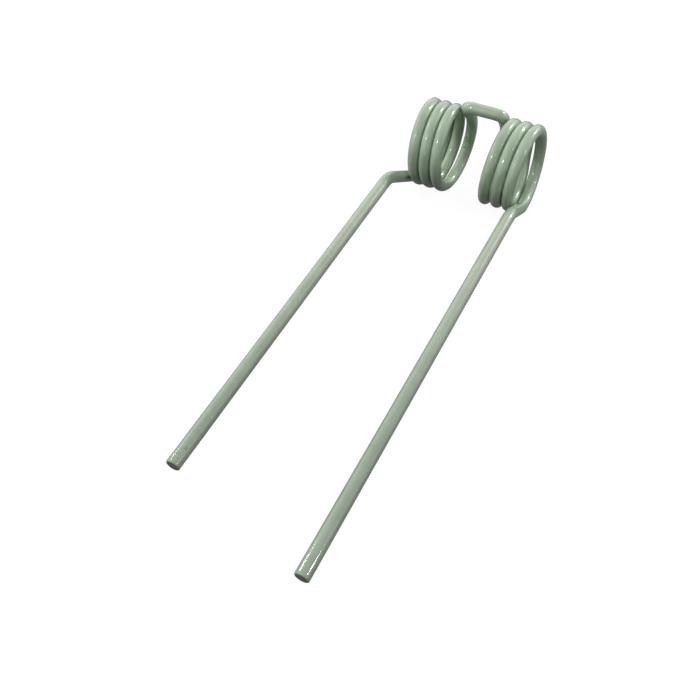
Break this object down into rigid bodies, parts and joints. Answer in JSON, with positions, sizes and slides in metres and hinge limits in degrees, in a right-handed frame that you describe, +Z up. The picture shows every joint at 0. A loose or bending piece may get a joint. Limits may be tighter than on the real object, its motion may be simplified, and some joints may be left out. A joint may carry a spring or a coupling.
{
  "type": "rotary rake tine",
  "caption": "Double torsion spring tine for a rotary hay rake: one round wire bent into two close-wound coils, a bridge and two long parallel legs.",
  "frame": {"origin": "middle of the footprint on the ground plane, with the tine lying as it comes to rest", "axes": "+X along the coils' shared axis from the left coil to the right coil, +Y from the leg ends towards the coils, +Z up"},
  "size_m": [0.1124, 0.4111, 0.0758],
  "materials": {
    "coated_spring_wire": "gloss"
  },
  "bodies": {
    "root": {"spring_tine": "coated_spring_wire"}
  },
  "joints": []
}
